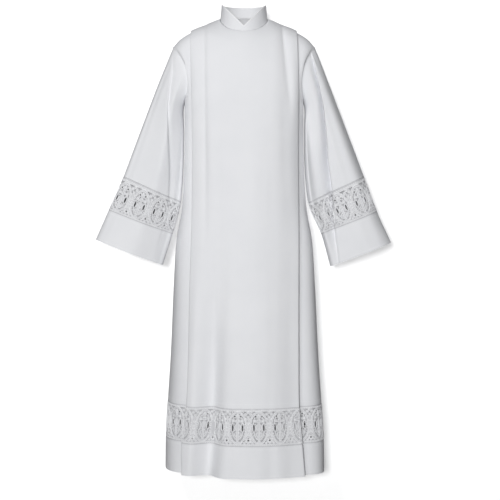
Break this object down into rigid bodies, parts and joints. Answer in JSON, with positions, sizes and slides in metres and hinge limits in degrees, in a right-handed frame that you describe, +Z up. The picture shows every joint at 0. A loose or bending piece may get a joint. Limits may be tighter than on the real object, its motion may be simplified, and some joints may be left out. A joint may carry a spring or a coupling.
{
  "type": "alb robe",
  "caption": "Long white worn alb, hollow, with a stand-up notched collar, pleated panels, wide sleeves and lace bands above the cuffs and hem.",
  "frame": {"origin": "between the shoulders, level with the cloth beside the neck, where the wearer's shoulders hold the robe", "axes": "+Z up along the robe's height, -Y out of its front, +X to the right of someone who looks at the front"},
  "size_m": [0.994, 0.3317, 1.5651],
  "materials": {
    "alb_cloth": "smooth plain weave, faint sheen",
    "collar_cloth": "smooth plain weave, interfaced",
    "lace": "raised corded lace on a net ground",
    "binding": "narrow bound edge"
  },
  "bodies": {
    "root": {"body_front": "alb_cloth", "body_back": "alb_cloth", "hem_lace_front": "lace", "hem_lace_back": "lace", "hem_border_front": "alb_cloth", "hem_border_back": "alb_cloth", "sleeve_left": "alb_cloth", "sleeve_right": "alb_cloth", "sleeve_lace_left_front": "lace", "sleeve_lace_left_back": "lace", "sleeve_lace_right_front": "lace", "sleeve_lace_right_back": "lace", "cuff_left": "alb_cloth", "cuff_right": "alb_cloth", "collar": "collar_cloth", "collar_binding": "binding"}
  },
  "joints": []
}
